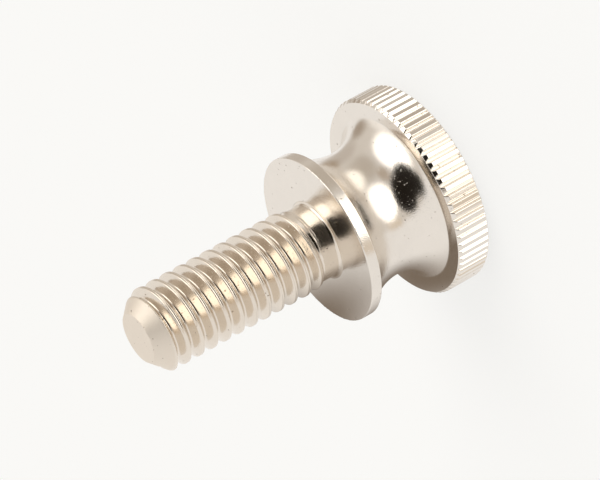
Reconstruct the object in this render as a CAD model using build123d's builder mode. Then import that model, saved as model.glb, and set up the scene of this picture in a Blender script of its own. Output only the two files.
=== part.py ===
from build123d import *
from math import radians, sqrt, tan
import os

# A nickel-plated thumb screw, turned from one bar: a knurled head, a concave waist for the
# fingertips, a thin round collar that bears on the work, and a threaded shank with a chamfered tip.
# It stands on the flat back of its head, with its tip upwards and the origin under its axis.

# Head and waist, in millimetres
head_diameter = 19.05
head_thickness = 3.29
head_front_chamfer = 0.2
head_back_chamfer = 0.12
grip_height = 7.31
waist_diameter = 12.1
waist_height = 4.1
waist_collar_radius = 6.4
waist_head_radius = 4.0

# Straight knurl: V grooves along the rim of the head
knurl_count = 72
knurl_depth = 0.31
knurl_angle = 70.0

# Collar and shank
collar_diameter = 15.875
collar_thickness = 1.07
collar_edge_break = 0.08
shank_length = 19.05
thread_major_diameter = 7.7
neck_diameter = 6.9
neck_length = 0.75
neck_fillet = 0.42
thread_runout = 1.4
tip_face_diameter = 4.7
tip_chamfer_angle = 45.0

# Derived radii, and heights above the back of the head
head_radius = head_diameter / 2
waist_radius = waist_diameter / 2
collar_radius = collar_diameter / 2
major_radius = thread_major_diameter / 2
neck_radius = neck_diameter / 2
tip_radius = tip_face_diameter / 2
collar_back = head_thickness + grip_height
waist_level = collar_back - waist_height
collar_front = collar_back + collar_thickness
neck_end = collar_front + neck_length
thread_end = neck_end + thread_runout
tip = collar_front + shank_length
tip_chamfer_foot = tip - (major_radius - tip_radius) / tan(radians(tip_chamfer_angle))


def waist_edge(arc_radius, rise):
    """Radius that an arc, tangent to the narrowest waist, reaches at a rise away from it."""
    return waist_radius + arc_radius - sqrt(arc_radius**2 - rise**2)


waist_at_head = (waist_edge(waist_head_radius, waist_level - head_thickness), head_thickness)
waist_narrowest = (waist_radius, waist_level)
waist_at_collar = (waist_edge(waist_collar_radius, waist_height), collar_back)
fillet_start = (neck_radius + neck_fillet, collar_front)
fillet_end = (neck_radius, collar_front + neck_fillet)

with BuildPart() as thumb_screw:
    with BuildSketch(Plane.XZ):
        with BuildLine():
            Polyline(
                (0, 0),
                (head_radius - head_back_chamfer, 0),
                (head_radius, head_back_chamfer),
                (head_radius, head_thickness - head_front_chamfer),
                (head_radius - head_front_chamfer, head_thickness),
                waist_at_head,
            )
            RadiusArc(waist_at_head, waist_narrowest, waist_head_radius)
            RadiusArc(waist_narrowest, waist_at_collar, waist_collar_radius)
            Polyline(
                waist_at_collar,
                (collar_radius - collar_edge_break, collar_back),
                (collar_radius, collar_back + collar_edge_break),
                (collar_radius, collar_front - collar_edge_break),
                (collar_radius - collar_edge_break, collar_front),
                fillet_start,
            )
            RadiusArc(fillet_start, fillet_end, neck_fillet)
            Polyline(
                fillet_end,
                (neck_radius, neck_end),
                (major_radius, thread_end),
                (major_radius, tip_chamfer_foot),
                (tip_radius, tip),
                (0, tip),
                (0, 0),
            )
        make_face()
    revolve(axis=Axis.Z)
    # Each V groove of the knurl runs the whole height of the rim
    groove_half = knurl_depth * tan(radians(knurl_angle / 2))
    with BuildSketch():
        with PolarLocations(head_radius, knurl_count):
            Polygon(
                (-knurl_depth, 0),
                (knurl_depth, -2 * groove_half),
                (knurl_depth, 2 * groove_half),
                align=None,
            )
    extrude(amount=head_thickness, mode=Mode.SUBTRACT)

thumb_screw.part.label = "thumb_screw"
os.makedirs("parts", exist_ok=True)
export_step(thumb_screw.part, "parts/thumb_screw.step")
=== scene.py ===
import bpy
import numpy as np
from math import atan2, cos, degrees, pi, radians, sin, sqrt, tan
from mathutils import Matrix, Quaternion, Vector


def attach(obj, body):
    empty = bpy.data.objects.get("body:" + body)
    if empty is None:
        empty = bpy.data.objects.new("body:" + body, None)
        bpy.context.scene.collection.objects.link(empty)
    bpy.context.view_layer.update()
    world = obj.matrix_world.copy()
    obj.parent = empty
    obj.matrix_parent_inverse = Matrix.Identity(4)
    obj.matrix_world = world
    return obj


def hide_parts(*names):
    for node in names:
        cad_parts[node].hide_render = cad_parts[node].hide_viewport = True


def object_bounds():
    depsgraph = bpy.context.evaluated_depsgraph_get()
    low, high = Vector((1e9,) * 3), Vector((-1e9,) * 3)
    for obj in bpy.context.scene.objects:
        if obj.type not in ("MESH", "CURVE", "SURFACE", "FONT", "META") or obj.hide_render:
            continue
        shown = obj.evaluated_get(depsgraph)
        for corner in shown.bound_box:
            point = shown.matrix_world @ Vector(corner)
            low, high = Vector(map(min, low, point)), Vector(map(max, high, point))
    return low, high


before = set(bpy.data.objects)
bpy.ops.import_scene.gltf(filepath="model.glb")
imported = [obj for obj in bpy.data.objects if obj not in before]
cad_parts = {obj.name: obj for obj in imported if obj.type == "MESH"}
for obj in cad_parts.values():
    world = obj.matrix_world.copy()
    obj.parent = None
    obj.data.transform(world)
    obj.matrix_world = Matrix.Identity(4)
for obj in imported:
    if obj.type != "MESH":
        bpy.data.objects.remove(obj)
cad_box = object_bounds()
mm = 0.001

# The camera
# The screw stands on its head, and the photograph shows it lying on its side, so the camera looks
# at it from the side and is rolled until the tip points down to the left.
camera_azimuth = radians(1.908)
camera_elevation = radians(23.651)
camera_roll = radians(-118.83)
camera_distance = 305.54 * mm
aim = Vector((0.711, 0.024, 13.108)) * mm

camera = bpy.data.objects.new("camera", bpy.data.cameras.new("camera"))
bpy.context.scene.collection.objects.link(camera)
camera.data.sensor_width = 36
camera.data.lens = 210
camera.data.clip_start = 0.01
camera.data.clip_end = 10
back = Vector((
    sin(camera_azimuth) * cos(camera_elevation),
    -cos(camera_azimuth) * cos(camera_elevation),
    sin(camera_elevation),
))
level_view = (-back).to_track_quat("-Z", "Y")
camera.rotation_mode = "QUATERNION"
camera.rotation_quaternion = level_view @ Quaternion((0, 0, 1), camera_roll)
camera.location = aim + back * camera_distance
bpy.context.scene.camera = camera
bpy.context.scene.view_settings.view_transform = "Standard"


# The light tent
# A white photographer's tent stands round the screw. Its far side is darker, its floor is a pale
# cream, and the lens looks in through a dark hole that the plating mirrors.
class Wire:
    """A node's output socket, with operators that add Math nodes behind it."""

    def __init__(self, nodes, socket):
        self.nodes, self.socket = nodes, socket

    def math(self, operation, first, second):
        return self.nodes.add("ShaderNodeMath", {"operation": operation}, {0: first, 1: second})

    def __add__(self, other):
        return self.math("ADD", self, other)

    def __sub__(self, other):
        return self.math("SUBTRACT", self, other)

    def __rsub__(self, other):
        return self.math("SUBTRACT", other, self)

    def __mul__(self, other):
        return self.math("MULTIPLY", self, other)

    __radd__ = __add__
    __rmul__ = __mul__


class Nodes:
    """The cleared node tree of a world or a material, with one method that adds any node."""

    def __init__(self, owner):
        owner.use_nodes = True
        self.owner, self.tree = owner, owner.node_tree
        self.tree.nodes.clear()

    def add(self, kind, settings=None, sockets=None, output=0):
        """Adds a node, sets its own settings, then its sockets' values or links."""
        node = self.tree.nodes.new(kind)
        for name, value in (settings or {}).items():
            setattr(node, name, value)
        for name, value in (sockets or {}).items():
            if isinstance(value, Wire):
                self.tree.links.new(value.socket, node.inputs[name])
            elif hasattr(value, "__len__") and node.inputs[name].type == "RGBA":
                node.inputs[name].default_value = (*value, 1)
            else:
                node.inputs[name].default_value = value
        return Wire(self, node.outputs[output]) if len(node.outputs) else node

    def vector(self, operation, sockets, output=0):
        """A Vector Math node, whose second output is the number that some operations give."""
        return self.add("ShaderNodeVectorMath", {"operation": operation}, sockets, output)

    def step(self, value, low, high):
        """A smooth step: 0 where value is below low, 1 where it is above high."""
        return self.add(
            "ShaderNodeMapRange",
            {"interpolation_type": "SMOOTHSTEP"},
            {"Value": value, "From Min": low, "From Max": high},
        )

    def mix(self, share, first, second):
        """The first colour where share is 0, the second where it is 1."""
        return self.add(
            "ShaderNodeMix",
            {"data_type": "RGBA"},
            {0: share, 6: first, 7: second},
            output=2,
        )


# Directions in the photograph: up from its table, away from the lens along it, and to the right
photo_up = Vector((0.7803, -0.5979, -0.1836))
photo_away = (-back - photo_up * photo_up.dot(-back)).normalized()
photo_right = photo_away.cross(photo_up)


def photo_direction(bearing, height):
    """Unit vector at a bearing, in degrees right of straight away from the lens, and a height."""
    level = photo_away * cos(radians(bearing)) + photo_right * sin(radians(bearing))
    return level * cos(radians(height)) + photo_up * sin(radians(height))


wall_grey = (0.74, 0.69, 0.63)
table_cream = (0.95, 0.93, 0.905)
page_white = (0.955, 0.955, 0.942)
hole_black = (0.014, 0.011, 0.008)
table_edge_blur = 0.04
# Each patch covers the ones before it: its colour, its middle as bearing and height, and the angles
# from there, in degrees, within which it is whole and beyond which it is gone
tent_patches = [
    # The roof, and the darker far wall
    ((0.82, 0.78, 0.74), (-100, 85), 15, 45),
    ((0.57, 0.51, 0.44), (5, 66), 0, 34),
    ((0.52, 0.44, 0.36), (180, 78), 4, 18),
    ((0.60, 0.54, 0.48), (-12, 12), 8, 27),
    ((0.40, 0.31, 0.22), (12, 13), 3, 17),
    ((0.42, 0.35, 0.28), (-45, -2), 4, 20),
    # The foot of the wall on the left and on the right
    ((1.05, 1.01, 0.96), (-78, 0), 7, 18),
    ((0.80, 0.70, 0.58), (112, 2), 6, 18),
    # The lamps behind the cloth, on the left, on the right and, weaker, on the far right
    ((2.30, 2.24, 2.12), (-106, 38), 17, 36),
    ((2.30, 2.22, 2.06), (106, 41), 16, 31),
    ((2.20, 2.12, 1.98), (107, 24), 5, 18),
    ((1.50, 1.42, 1.28), (38, 45), 9, 20),
    # The hole for the lens
    (hole_black, (166, 29), 23, 30),
    (hole_black, (-160, 32), 23, 30),
    (hole_black, (177, 38), 21, 29),
    (hole_black, (-152, 16), 13, 20),
]

world = bpy.data.worlds.new("light_tent")
bpy.context.scene.world = world
sky = Nodes(world)
look = sky.add("ShaderNodeTexCoord")


def toward(direction):
    """How far the looked-at direction agrees with this one, as the cosine between them."""
    return sky.vector("DOT_PRODUCT", {0: look, 1: direction}, output=1)


above_table = sky.step(toward(photo_up), -table_edge_blur, table_edge_blur)
tent = sky.mix(above_table, table_cream, wall_grey)
for colour, middle, whole, gone in tent_patches:
    near = toward(photo_direction(*middle))
    tent = sky.mix(sky.step(near, cos(radians(gone)), cos(radians(whole))), tent, colour)
seen = sky.add("ShaderNodeLightPath")
shown = sky.mix(seen, tent, page_white)
glow = sky.add("ShaderNodeBackground", {}, {"Color": shown, "Strength": 1.0})
sky.add("ShaderNodeOutputWorld", {}, {"Surface": glow})


def flat_card(name, middle, first_side, second_side, half_width, surface):
    """A square card of the stage: corners half a width from its middle along both its sides."""
    mesh = bpy.data.meshes.new(name)
    corners = [
        middle + (first_side * x + second_side * y) * half_width
        for x, y in ((-1, -1), (1, -1), (1, 1), (-1, 1))
    ]
    mesh.from_pydata(corners, [], [(0, 1, 2, 3)])
    mesh.materials.append(surface)
    made = bpy.data.objects.new(name, mesh)
    bpy.context.scene.collection.objects.link(made)
    return made


# The floor is a wide pale card under the head, and the metal doesn't mirror it. The lens sees it
# partly as an even white, and partly as a matt card that keeps the screw's shadow
floor_half_width = 1200 * mm
floor_matt_white = (0.98, 0.98, 0.965)
floor_even_white = (0.968, 0.968, 0.956)
floor_even_share = 0.7
card = Nodes(bpy.data.materials.new("pale_card"))
matt = card.add("ShaderNodeBsdfDiffuse", {}, {"Color": floor_matt_white})
page = card.add("ShaderNodeEmission", {}, {"Color": floor_even_white, "Strength": 1.0})
eye = card.add("ShaderNodeLightPath")
lit = card.add("ShaderNodeMixShader", {}, {0: eye * floor_even_share, 1: matt, 2: page})
card.add("ShaderNodeOutputMaterial", {}, {"Surface": lit})
floor = flat_card(
    "floor", Vector((0, 0, 0)), Vector((1, 0, 0)), Vector((0, 1, 0)), floor_half_width, card.owner
)
floor.visible_glossy = False


# A second card leans against the screw as the table did in the photograph. Only the plating sees
# it, so that it mirrors a pale table with a soft brown shadow under the collar and the waist.
table_half_width = 150 * mm
contact_radius = 7.94
contact_height = 11.67
shadow_brown = (0.22, 0.175, 0.135)
shadow_middle = 7.6
shadow_inner = 3.0
shadow_outer = 14.0
shadow_narrowing = 0.5
table_side = Vector((photo_up.x, photo_up.y, 0)).normalized()
table_touch = (Vector((0, 0, contact_height)) - table_side * contact_radius) * mm
along = (Vector((0, 0, 1)) - photo_up * photo_up.z).normalized()
beside_axis = photo_up.cross(along)
below_waist = table_touch - along * (contact_height - shadow_middle) * mm
cloth = Nodes(bpy.data.materials.new("mirrored_cream_table"))
spot = cloth.add("ShaderNodeTexCoord", output=3)
# Distances across the screw count for more, so the shadow is narrower that way
sideways = cloth.vector("DOT_PRODUCT", {0: spot, 1: beside_axis}, output=1)
wider = cloth.vector("SCALE", {0: beside_axis, "Scale": sideways * shadow_narrowing})
stretched = cloth.vector("ADD", {0: spot, 1: wider})
away_from_waist = cloth.vector("DISTANCE", {0: stretched, 1: below_waist}, output=1)
open_table = cloth.step(away_from_waist, shadow_inner * mm, shadow_outer * mm)
table_tone = cloth.mix(open_table, shadow_brown, table_cream)
table_glow = cloth.add("ShaderNodeEmission", {}, {"Color": table_tone, "Strength": 1.0})
cloth.add("ShaderNodeOutputMaterial", {}, {"Surface": table_glow})
table = flat_card("mirrored_table", table_touch, along, beside_axis, table_half_width, cloth.owner)
for ray in ("camera", "diffuse", "transmission", "volume_scatter", "shadow"):
    setattr(table, "visible_" + ray, False)


# The nickel plating
# A bright, faintly warm electroplated nickel lies over the whole screw. Fine grains and pits left
# by the tumbling before plating break up what it mirrors.
grains_per_mm = 9
clouds_per_mm = 0.6
specks_per_mm = 7
speck_levels = (0.75, 0.84)
speck_height = 0.006
pits_per_mm = 3.2
pit_levels = (0.22, 0.27)
pit_depth = 0.010
# The pits are painted a darker brown as well, a painted shade inside them
pit_shade_brown = (0.30, 0.24, 0.18)
pit_shade_share = 0.7
pit_roughness = 0.2
cloud_tones = (0.96, 1.03)
uneven_roughness = 0.05
matt_roughness = 0.36
matt_fade = 0.3


def nickel(name, tint, roughness, grain, matt_above):
    """Polished nickel, which turns more matt just under a height, for the tip of the screw.

    Its relief is fine noise times the grain, plus raised specks, less sunk pits, in millimetres.
    """
    plate = Nodes(bpy.data.materials.new(name))
    place = plate.add("ShaderNodeTexCoord", output=3)

    def speckle(per_mm, detail):
        """Even noise with this many grains to the millimetre."""
        return plate.add(
            "ShaderNodeTexNoise", {}, {"Vector": place, "Scale": per_mm / mm, "Detail": detail}
        )

    fine = speckle(grains_per_mm, detail=1.0)
    broad = speckle(clouds_per_mm, detail=3.0)
    level = plate.add("ShaderNodeSeparateXYZ", {}, {0: place}, output=2)
    matt = plate.step(level, (matt_above - matt_fade) * mm, matt_above * mm) * matt_roughness
    specks = plate.step(speckle(specks_per_mm, detail=0.0), *speck_levels)
    pits = 1 - plate.step(speckle(pits_per_mm, detail=1.0), *pit_levels)
    tone = plate.mix(broad, *[[share * part for part in tint] for share in cloud_tones])
    # Painted shade: the colour turns a darker brown in the pits
    tone = plate.mix(pits * pit_shade_share, tone, pit_shade_brown)
    relief = fine * grain + specks * speck_height - pits * pit_depth
    dents = plate.add("ShaderNodeBump", {}, {"Height": relief, "Distance": mm, "Strength": 1.0})
    unevenness = broad * uneven_roughness + fine * uneven_roughness
    gloss = unevenness + (roughness - uneven_roughness) + pits * pit_roughness + matt
    skin = plate.add(
        "ShaderNodeBsdfPrincipled",
        {},
        {"Base Color": tone, "Metallic": 1.0, "Roughness": gloss, "Normal": dents},
    )
    plate.add("ShaderNodeOutputMaterial", {}, {"Surface": skin})
    return plate.owner


# The threaded shank
# A right-hand 5/16-18 thread is rolled on it, so each crest is two rounded shoulders with a shallow
# seam between. The thread fades out into a plain neck, and the tip has a turned chamfer.
pitch = 25.4 / 18
major_radius = 3.85
root_radius = 3.05
crest_half = 0.14
crest_round = 0.05
root_round = 0.13
seam_depth = 0.03
seam_half = 0.045
flank_lean = radians(30)
first_crest = 0.708
tip_radius = 2.35
neck_radius = 3.45
neck_fillet = 0.32
shank_length = 19.05
neck_length = 1.35
thread_runout = 1.1
root_rise = 1.3
root_rise_start = 16.0
tip_matt_length = 1.2
hidden_length = 0.3
fillet_steps = 10
tip_height = cad_box[1].z / mm


def soft_least(first, second, width):
    """The lesser of two values, less a parabola that rounds the corner within a width of it."""
    near = np.clip(0.5 + (second - first) / (2 * width), 0, 1)
    return second + (first - second) * near - width * near * (1 - near)


def soft_most(first, second, width):
    """The greater of two values, with the corner filled as soft_least rounds it."""
    return -soft_least(-first, -second, width)


def thread_radius(offset):
    """Radius at an offset along the shank from the middle of a crest.

    A crest with a seam, a bell curve deep, falls to a rounded root on flanks that lean 30 degrees.
    """
    out = np.abs(offset)
    crest = major_radius - seam_depth * np.exp(-((out / seam_half) ** 2))
    flank = major_radius - (out - crest_half) / tan(flank_lean)
    tooth = soft_least(crest, flank, crest_round)
    return soft_most(tooth, root_radius, root_round)


def shank_radius(depth, offset):
    """Radius at a depth below the tip: the thread, cut by the chamfer and faded into the neck.

    It is the thread, no more than a cone that runs out on the neck, no less than a root that rises
    to the neck, and in all no more than a 45 degree cone at the tip.
    """
    fade_start = shank_length - neck_length - thread_runout
    fade = major_radius - (major_radius - neck_radius) * (depth - fade_start) / thread_runout
    rise = (neck_radius - root_radius) * np.clip((depth - root_rise_start) / root_rise, 0, 1)
    tooth = np.minimum(thread_radius(offset), np.maximum(fade, neck_radius))
    tooth = np.maximum(tooth, root_radius + rise)
    return np.minimum(tooth, tip_radius + depth)


def mesh_object(name, points, triangles, material):
    """An object at the origin from points in millimetres and rows of three point numbers."""
    mesh = bpy.data.meshes.new(name)
    mesh.vertices.add(len(points))
    mesh.vertices.foreach_set("co", (points * mm).astype(np.float32).ravel())
    mesh.loops.add(triangles.size)
    mesh.loops.foreach_set("vertex_index", triangles.astype(np.int32).ravel())
    mesh.polygons.add(len(triangles))
    mesh.polygons.foreach_set("loop_start", np.arange(0, triangles.size, 3, dtype=np.int32))
    mesh.polygons.foreach_set("use_smooth", np.ones(len(triangles), bool))
    mesh.update(calc_edges=True)
    mesh.validate()
    mesh.materials.append(material)
    made = bpy.data.objects.new(name, mesh)
    bpy.context.scene.collection.objects.link(made)
    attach(made, "root")
    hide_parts("thumb_screw")
    return made


def even_angles(columns):
    """Angles round the axis, a whole turn in even steps."""
    return np.arange(columns) * 2 * pi / columns


def round_points(radius, height, angle):
    """Points at a radius and a height, at an angle round the axis."""
    return np.stack(
        np.broadcast_arrays(radius * np.cos(angle), radius * np.sin(angle), height), axis=-1
    )


def turned_rings(section, angle):
    """Rings of points round the axis, one for each (radius, height) of a section."""
    return [round_points(radius, height, angle) for radius, height in section]


def ring_triangles(lower, upper):
    """Triangles between two closed rings of point numbers, the first below the second."""
    right_lower, right_upper = np.roll(lower, -1), np.roll(upper, -1)
    first = np.stack([lower, right_lower, right_upper], axis=-1)
    second = np.stack([lower, right_upper, upper], axis=-1)
    return np.concatenate([first, second])


def ring_stack(rings, first_number=0):
    """Points, triangles and point numbers of rings that join one another, the lowest first."""
    numbers = first_number + np.arange(len(rings) * len(rings[0])).reshape(len(rings), -1)
    triangles = [ring_triangles(*pair) for pair in zip(numbers[:-1], numbers[1:])]
    return np.concatenate(rings), np.concatenate(triangles), numbers


def fan(ring, centre, upwards):
    """Triangles that close a ring of point numbers with a centre point, facing up or down."""
    following = np.roll(ring, -1)
    sides = (ring, following) if upwards else (following, ring)
    return np.stack([*sides, np.full(len(ring), centre)], axis=-1)


def arc(centre, radius, start, end, steps):
    """Points (radius, height) on an arc in the screw's section, from one angle to another."""
    turn = np.radians(np.linspace(start, end, steps + 1))
    return [(centre[0] + radius * cos(t), centre[1] + radius * sin(t)) for t in turn]


# Rows follow the helix, so that crests and roots stay crisp, and lie close together at a crest
shank_columns = 216
crest_zone = 0.19
root_zone = 0.46
row_stops = (-pitch / 2, -root_zone, -crest_zone, crest_zone, root_zone, pitch / 2)
rows_between = (4, 3, 14, 3, 4)
spare_turns = 3
row_offsets = np.concatenate([
    np.linspace(row_stops[k], row_stops[k + 1], rows, endpoint=False)
    for k, rows in enumerate(rows_between)
])
rows_per_turn = len(row_offsets)
thread_length = shank_length - neck_length
# The helix starts a turn above the tip and ends past the neck in every column
turns = int(np.ceil(thread_length / pitch)) + spare_turns
row = np.arange(turns * rows_per_turn)
offset = row_offsets[row % rows_per_turn]
row_depth = first_crest + pitch * (row // rows_per_turn - 1) + offset
shank_angle = even_angles(shank_columns)
depth = row_depth[:, None] - pitch * shank_angle / (2 * pi)
held = np.clip(depth, 0, thread_length)
radius = shank_radius(held, np.broadcast_to(offset[:, None], depth.shape))
radius = np.where(held >= thread_length, neck_radius, radius)
thread_points = round_points(radius, tip_height - held, shank_angle).reshape(-1, 3)
# A point past either end of the thread is the same as the end ring's point in its column
number = np.arange(depth.size).reshape(depth.shape)
tip_ring = depth.size + np.arange(shank_columns)
neck_ring = tip_ring + shank_columns
number = np.where(depth <= 0, tip_ring, np.where(depth >= thread_length, neck_ring, number))
# The last column meets the first one turn on
beside = np.concatenate([number[:, 1:], np.full((len(row), 1), -1)], axis=1)
beside[rows_per_turn:, -1] = number[:-rows_per_turn, 0]
beside[:rows_per_turn, -1] = tip_ring[0]
upper_left, lower_left = number[:-1], number[1:]
upper_right, lower_right = beside[:-1], beside[1:]
thread_triangles = np.concatenate([
    np.stack([lower_left, lower_right, upper_right], axis=-1).reshape(-1, 3),
    np.stack([lower_left, upper_right, upper_left], axis=-1).reshape(-1, 3),
])
end_section = [(tip_radius, tip_height), (neck_radius, tip_height - thread_length)]
end_rings = turned_rings(end_section, shank_angle)
# Above the tip's ring is the flat face, and below the neck's ring the neck, the fillet and an end
# hidden in the collar
collar_front = tip_height - shank_length
shank_end = collar_front - hidden_length
end_ring_radius = 0.9
neck_ring_height = 0.8
fillet_middle = (neck_radius + neck_fillet, collar_front + neck_fillet)
neck_section = [
    (end_ring_radius, shank_end),
    (neck_radius, shank_end),
    *arc(fillet_middle, neck_fillet, 270, 180, fillet_steps),
    (neck_radius, collar_front + neck_ring_height),
]
tip_face_radii = (tip_radius - 0.02, 1.6, 0.8)
tip_section = [(radius, tip_height) for radius in tip_face_radii]
neck_points, neck_triangles, neck_numbers = ring_stack(
    turned_rings(neck_section, shank_angle), neck_ring[-1] + 1
)
face_points, face_triangles, face_numbers = ring_stack(
    turned_rings(tip_section, shank_angle), neck_numbers[-1, -1] + 1
)
end_centre = face_numbers[-1, -1] + 1
shank_points = np.concatenate([
    thread_points,
    *end_rings,
    neck_points,
    face_points,
    [(0, 0, shank_end), (0, 0, tip_height)],
])
shank_triangles = np.concatenate([
    thread_triangles,
    neck_triangles,
    ring_triangles(neck_numbers[-1], neck_ring),
    ring_triangles(tip_ring, face_numbers[0]),
    face_triangles,
    fan(neck_numbers[0], end_centre, upwards=False),
    fan(face_numbers[-1], end_centre + 1, upwards=True),
])
# A triangle with two corners at the same point is left out, and so is a point that none uses
first, second, third = shank_triangles.T
shank_triangles = shank_triangles[(first != second) & (second != third) & (first != third)]
used, renumbered = np.unique(shank_triangles, return_inverse=True)
# The thread's nickel is tinted darker and warmer than the waist's and the head's. This is a painted
# shade for the light caught between its flanks and for the table's shadow under the shank
rolled = nickel(
    "shaded_nickel_on_rolled_thread",
    tint=(0.79, 0.72, 0.635),
    roughness=0.17,
    grain=0.006,
    matt_above=tip_height - tip_matt_length,
)
mesh_object("threaded_shank", shank_points[used], renumbered.reshape(-1, 3), rolled)


# The collar and the waist
# The collar is a thin turned disc that bears on the work, with a hair of burr on its front edge.
# Behind it the waist is turned hollow with a form tool, in two arcs that meet where it is narrowest.
collar_radius = 7.9375
collar_thickness = 1.07
edge_break = 0.08
burr_size = 0.008
grip_height = 7.31
waist_height = 4.1
waist_radius = 6.05
waist_collar_radius = 6.4
waist_head_radius = 4.0
blend_radius = 0.15
hidden_foot = 0.4
rim_inset = 0.12
collar_face_radii = (7.82, 6.0, 2.0)
collar_back_radius = 7.72
foot_ring_radius = 0.5
body_columns = 480
edge_steps = 4
blend_steps = 6
foot_rows = 44
neck_rows = 48
collar_back = collar_front - collar_thickness
waist_level = collar_back - waist_height
head_front = collar_back - grip_height


def turned_waist(arc_radius, rises):
    """Section of an arc, tangent to the narrowest waist, at rises above or below it.

    It stands out by its radius less the root of the squared radius less the squared rise.
    """
    out = arc_radius - np.sqrt(arc_radius**2 - rises**2)
    return [(waist_radius + o, waist_level + z) for o, z in zip(out, rises)]


def rounded_edge(middle, start):
    """Section of an edge of the collar, a quarter turn about a middle from a start angle."""
    return arc(middle, edge_break, start, start + 90, edge_steps)


# The face of the head is dished a little towards the foot of the waist
face_edge_radius = 9.265
dish_lean = radians(5)


def dish_height(radius):
    """Height of the dished face of the head, a shallow cone, at a radius."""
    return head_front + (radius - face_edge_radius) * tan(dish_lean)


# The nose of the tool leaves a small blend there. Its middle lies where a parallel of the face, a
# blend's radius above it, meets the arc of the waist made smaller by that radius
arc_middle = np.array([waist_radius + waist_head_radius, waist_level])
down_face = np.array([-cos(dish_lean), -sin(dish_lean)])
parallel_start = np.array([face_edge_radius, head_front + blend_radius / cos(dish_lean)])
inwards = down_face @ (arc_middle - parallel_start)
off_parallel = (arc_middle - parallel_start) @ (arc_middle - parallel_start) - inwards**2
half_chord = sqrt((waist_head_radius - blend_radius) ** 2 - off_parallel)
blend_middle = parallel_start + down_face * (inwards + half_chord)
blend_angle = atan2(blend_middle[1] - arc_middle[1], blend_middle[0] - arc_middle[0])

blend_start = 270 + degrees(dish_lean)
blend_end = 360 + degrees(blend_angle)
waist_foot = head_front - hidden_foot
foot_rises = np.linspace(waist_head_radius * sin(blend_angle), 0, foot_rows)
neck_rises = np.linspace(0, waist_height, neck_rows)
burr = np.random.default_rng(5).normal(0, burr_size, body_columns)
back_edge = (collar_radius - edge_break, collar_back + edge_break)
front_edge = (collar_radius - edge_break, collar_front - edge_break)
front_section = rounded_edge(front_edge, 0)
# The burr stands out from the middle of the rounded edge
front_section[2] = (front_section[2][0] + burr, front_section[2][1] + burr)
body_section = [
    (foot_ring_radius, waist_foot),
    (blend_middle[0], waist_foot),
    *arc(blend_middle, blend_radius, blend_start, blend_end, blend_steps),
    *turned_waist(waist_head_radius, foot_rises)[1:],
    *turned_waist(waist_collar_radius, neck_rises)[1:],
    (collar_back_radius, collar_back),
    *rounded_edge(back_edge, -90),
    (collar_radius, collar_back + rim_inset),
    (collar_radius, collar_front - rim_inset),
    *front_section,
    *[(radius, collar_front) for radius in collar_face_radii],
]


def closed_stack(rings):
    """Points and triangles of a solid from its rings, closed on the axis at both ends."""
    points, triangles, numbers = ring_stack(rings)
    ends = [(0, 0, rings[0][0][2]), (0, 0, rings[-1][0][2])]
    bottom = fan(numbers[0], len(points), upwards=False)
    top = fan(numbers[-1], len(points) + 1, upwards=True)
    return np.concatenate([points, ends]), np.concatenate([triangles, bottom, top])


turned_nickel = nickel(
    "nickel_on_turned_waist",
    tint=(0.82, 0.77, 0.71),
    roughness=0.15,
    grain=0.007,
    matt_above=tip_height,
)
body_rings = turned_rings(body_section, even_angles(body_columns))
mesh_object("collar_and_waist", *closed_stack(body_rings), turned_nickel)


# The knurled head
# The head is a thick turned disc. A wheel has cut 72 straight V grooves across its rim, and the flat
# lands between them are what is left of the turned rim.
head_radius = 9.525
knurl_count = 72
knurl_depth = 0.31
knurl_half = knurl_depth * tan(radians(35))
knurl_round = 0.03
groove_rise = 0.05
groove_margin = 1.12
front_chamfer = 0.24
front_chamfer_length = 0.32
chamfer_ring_count = 8
back_chamfer = 0.12
back_edge_width = 0.03
back_edge_height = 0.012
back_radii = (3.0, 8.6)
face_radii = (face_edge_radius - 0.04, 8.4, 7.5)
# Places across a groove, as shares of its half span, and across the land beside it
groove_places = np.array([-1.0, -0.8, -0.5, -0.25, -0.1, 0, 0.1, 0.25, 0.5, 0.8, 1.0])
land_places = np.array([0.06, 0.2, 0.5, 0.8, 0.94])


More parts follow.
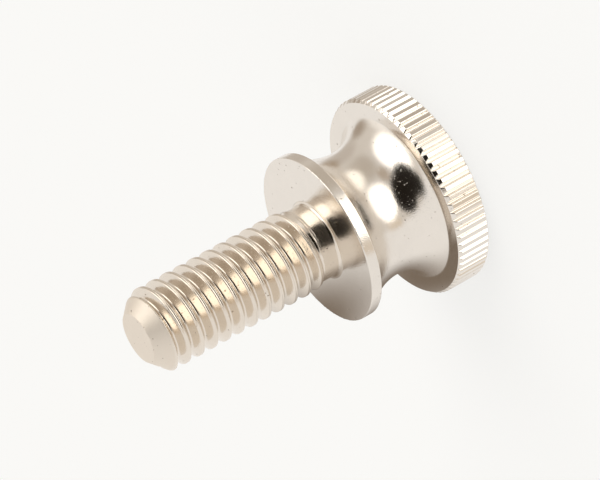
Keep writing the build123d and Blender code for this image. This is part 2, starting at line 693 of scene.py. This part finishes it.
def rim_radius(across):
    """Radius at a distance across from a groove's middle: a V in the rim with a raised floor."""
    flank = head_radius - knurl_depth + np.abs(across) * knurl_depth / knurl_half
    groove = soft_most(flank, head_radius - knurl_depth + groove_rise, knurl_round)
    return soft_least(groove, head_radius, knurl_round)


tooth_width = 2 * pi * head_radius / knurl_count
groove_span = knurl_half * groove_margin
one_tooth = np.concatenate([
    groove_places * groove_span,
    groove_span + land_places * (tooth_width - 2 * groove_span),
])
across = np.tile(one_tooth, knurl_count)
head_angle = np.repeat(np.arange(knurl_count), len(one_tooth)) * 2 * pi / knurl_count
head_angle = head_angle + across / head_radius
rim = rim_radius(np.where(across > tooth_width / 2, across - tooth_width, across))


def head_ring(height, limit=np.inf):
    """A ring of the knurled rim at a height, whose radius stays within a limit."""
    return round_points(np.minimum(rim, limit), height, head_angle)


# Rings close beside an edge keep it crisp. Those down the front chamfer follow its cone, so that
# each groove runs out on it in a clean V
close = 0.01
less_close = 0.05
chamfer_foot = head_front - front_chamfer_length
chamfer_rings = [
    head_ring(
        chamfer_foot + front_chamfer_length * share,
        head_radius - close - (front_chamfer - close) * share,
    )
    for share in np.linspace(0, 1, chamfer_ring_count)
]
back_section = [(radius, 0.0) for radius in back_radii]
face_section = [(radius, dish_height(radius)) for radius in face_radii]
face_section.append((back_radii[0], dish_height(face_radii[-1])))
head_rings = [
    *turned_rings(back_section, head_angle),
    head_ring(0.0, head_radius - back_chamfer - back_edge_width),
    head_ring(back_edge_height, head_radius - back_chamfer),
    head_ring(back_chamfer - close, head_radius - close),
    head_ring(back_chamfer + close),
    head_ring(back_chamfer + less_close),
    head_ring(chamfer_foot - less_close),
    head_ring(chamfer_foot - close),
    *chamfer_rings,
    head_ring(head_front, face_edge_radius),
    *turned_rings(face_section, head_angle),
]
knurled = nickel(
    "nickel_on_knurled_head",
    tint=(0.82, 0.77, 0.71),
    roughness=0.13,
    grain=0.003,
    matt_above=tip_height,
)
mesh_object("knurled_head", *closed_stack(head_rings), knurled)
